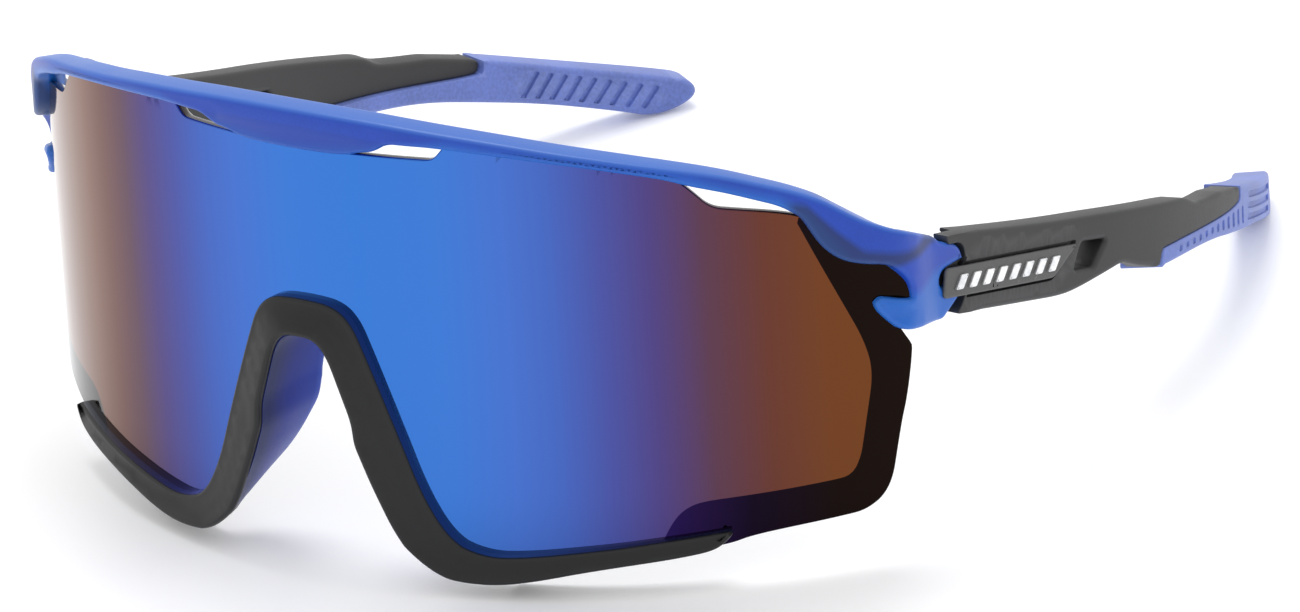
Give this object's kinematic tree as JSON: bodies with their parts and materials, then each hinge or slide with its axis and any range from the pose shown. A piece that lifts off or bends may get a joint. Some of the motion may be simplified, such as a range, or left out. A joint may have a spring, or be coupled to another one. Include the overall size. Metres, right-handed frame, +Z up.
{
  "type": "wraparound sport sunglasses",
  "caption": "Wraparound sport sunglasses: a mirrored shield lens, translucent brow frame, lower rim, nose piece and folding temples with rubber tips.",
  "frame": {"origin": "on the floor plane, at the centre of the footprint, which is also where the lens's axis of curvature meets the floor to within a millimetre", "axes": "+Z up from the surface that the glasses stand on; the lens looks along -Y and the temples point along +Y; +X is the wearer's left"},
  "size_m": [0.1502, 0.1716, 0.0693],
  "materials": {
    "mirror_lens": "interference mirror coat, blue at the middle to orange-brown at the sides",
    "blue_translucent": "translucent, matte",
    "black_satin": "satin",
    "blue_nose": "translucent, matte",
    "screw_steel": "turned",
    "grey_matte": "matte",
    "blue_rubber": "matte",
    "badge_grey": "satin",
    "bar_silver": "silver foil"
  },
  "bodies": {
    "front": {"lens": "mirror_lens", "brow_frame": "blue_translucent", "lower_rim": "black_satin", "nose_piece": "blue_nose", "hinge_screw_left": "screw_steel", "hinge_screw_right": "screw_steel"},
    "temple_l": {"temple_left": "grey_matte", "temple_tip_left": "blue_rubber", "badge_plate_left": "badge_grey", "badge_bars_left": "bar_silver"},
    "temple_r": {"temple_right": "grey_matte", "temple_tip_right": "blue_rubber", "badge_plate_right": "badge_grey", "badge_bars_right": "bar_silver"}
  },
  "joints": [
    {"name": "fold_left", "type": "hinge", "parent": "front", "child": "temple_l", "pos_m": [0.0701, -0.032, 0.0375], "axis": [0, 0, 1], "range_deg": [0, 88]},
    {"name": "fold_right", "type": "hinge", "parent": "front", "child": "temple_r", "pos_m": [-0.0701, -0.032, 0.0375], "axis": [0, 0, -1], "range_deg": [0, 79]}
  ]
}
